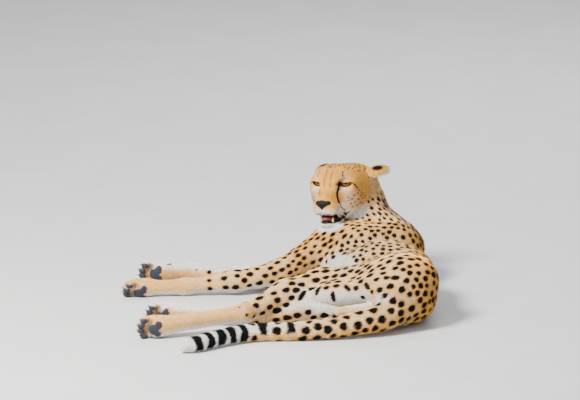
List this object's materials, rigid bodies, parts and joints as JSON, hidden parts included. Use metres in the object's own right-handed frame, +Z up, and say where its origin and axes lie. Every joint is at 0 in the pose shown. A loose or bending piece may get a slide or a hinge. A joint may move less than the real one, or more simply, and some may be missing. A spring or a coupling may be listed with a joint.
{
  "type": "cheetah",
  "caption": "Life-size still model of a resting cheetah that lies on its side with its head raised and turned back, for a museum or display floor.",
  "frame": {"origin": "on the flat under the right flank, level with the floor", "axes": "+Z up; +Y along the spine from the rump to the shoulders; -X along the outstretched legs, so the back faces +X"},
  "size_m": [0.8343, 0.9938, 0.3128],
  "materials": {
    "coat": "short dense fur, orange tan with black spots",
    "pale_coat": "short pale fur",
    "nose": "damp grained skin",
    "tongue": "moist, rough",
    "eye": "wet amber eye with a round pupil"
  },
  "bodies": {
    "root": {"ear_left": "coat", "ear_right": "coat", "nose": "nose", "tongue": "tongue", "eye_left": "eye", "eye_right": "eye", "head": "coat", "lower_jaw": "pale_coat", "thigh_right": "coat", "shank_right": "coat", "metatarsus_right": "coat", "hind_paw_right": "coat", "thigh_left": "coat", "shank_left": "coat", "metatarsus_left": "coat", "hind_paw_left": "coat", "upper_arm_right": "coat", "forearm_right": "coat", "metacarpus_right": "coat", "fore_paw_right": "coat", "upper_arm_left": "coat", "forearm_left": "coat", "metacarpus_left": "coat", "fore_paw_left": "coat", "trunk": "coat", "neck": "coat", "tail_base": "coat", "tail_middle": "coat", "tail_tip": "coat", "scrotum": "pale_coat"}
  },
  "joints": []
}
